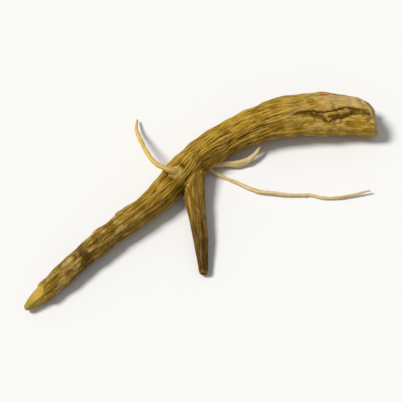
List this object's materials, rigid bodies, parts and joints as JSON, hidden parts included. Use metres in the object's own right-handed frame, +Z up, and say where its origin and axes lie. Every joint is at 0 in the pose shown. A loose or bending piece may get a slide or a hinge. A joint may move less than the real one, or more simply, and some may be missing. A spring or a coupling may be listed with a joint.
{
  "type": "ashwagandha root",
  "caption": "Dried, wrinkled tap root that tapers from a split, broken crown to a peeled thin end, with a broken side root and fine rootlets, lying on its side.",
  "frame": {"origin": "middle of the bounding box's floor, on the plane that the root rests on", "axes": "+X from the thin end to the crown, +Z up from the surface it lies on, the side root towards -Y"},
  "size_m": [0.1133, 0.0549, 0.0119],
  "materials": {
    "root_bark": "dry, dull, finely wrinkled yellow-brown bark, with cream wood where it is peeled or broken"
  },
  "bodies": {
    "root": {"root": "root_bark"}
  },
  "joints": []
}
